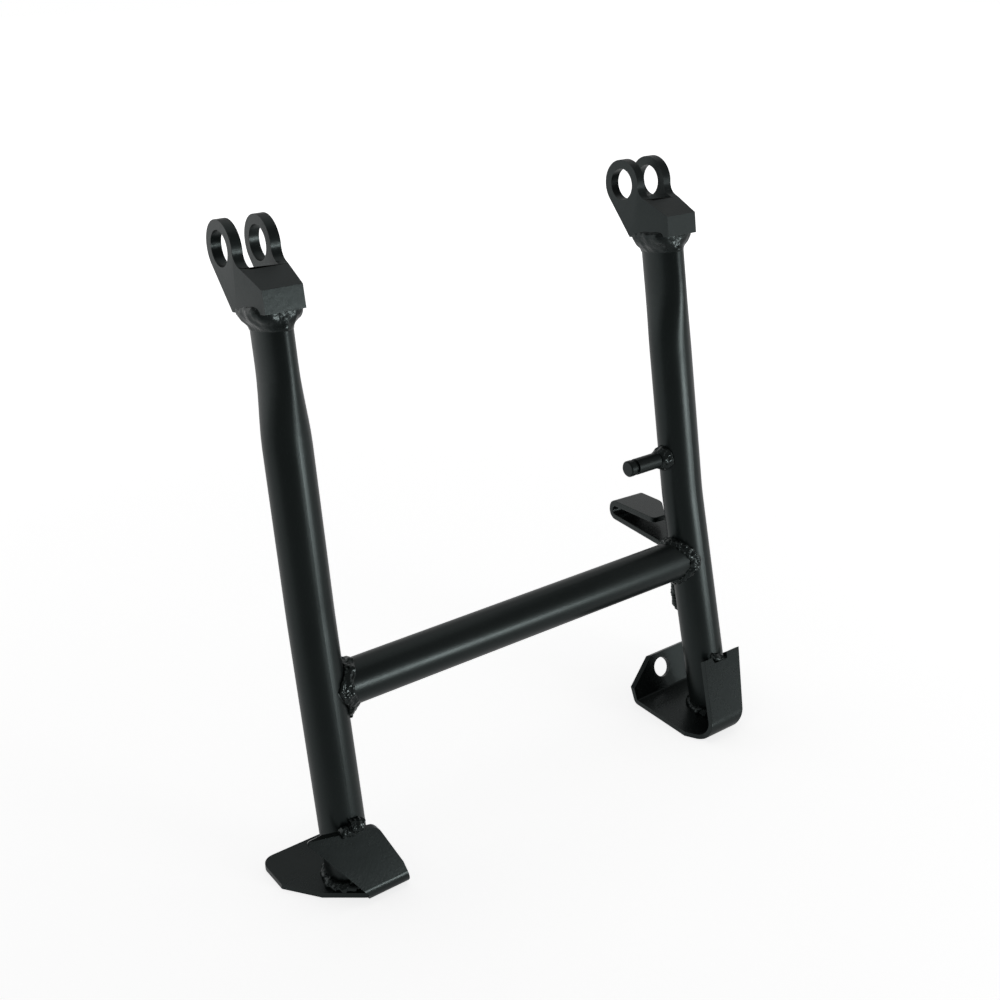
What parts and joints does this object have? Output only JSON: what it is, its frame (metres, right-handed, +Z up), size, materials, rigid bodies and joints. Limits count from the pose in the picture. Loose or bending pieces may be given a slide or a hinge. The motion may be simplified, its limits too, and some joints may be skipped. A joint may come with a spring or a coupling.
{
  "type": "motorcycle centre stand",
  "caption": "Welded tube centre stand with forked pivot clevises, a cross tube, folded sheet shoes, a spring peg and a curled foot lever, in black paint.",
  "frame": {"origin": "middle of the pivot axis, halfway between the two clevises", "axes": "+X along the pivot axis to the side with the foot lever, +Y to the motorcycle's rear, +Z up, with the stand drawn as it stands on its soles"},
  "size_m": [0.379, 0.139, 0.3806],
  "materials": {
    "frame_paint": "satin"
  },
  "bodies": {
    "root": {"left_clevis": "frame_paint", "right_clevis": "frame_paint", "left_leg": "frame_paint", "right_leg": "frame_paint", "cross_tube": "frame_paint", "left_shoe": "frame_paint", "right_shoe": "frame_paint", "spring_peg": "frame_paint", "foot_lever": "frame_paint", "left_clevis_weld": "frame_paint", "right_clevis_weld": "frame_paint", "left_cross_weld": "frame_paint", "right_cross_weld": "frame_paint", "left_sole_weld": "frame_paint", "right_sole_weld": "frame_paint", "left_wall_weld": "frame_paint", "right_wall_weld": "frame_paint", "peg_weld": "frame_paint", "lever_inner_weld": "frame_paint", "lever_outer_weld": "frame_paint", "lever_top_weld": "frame_paint"}
  },
  "joints": []
}
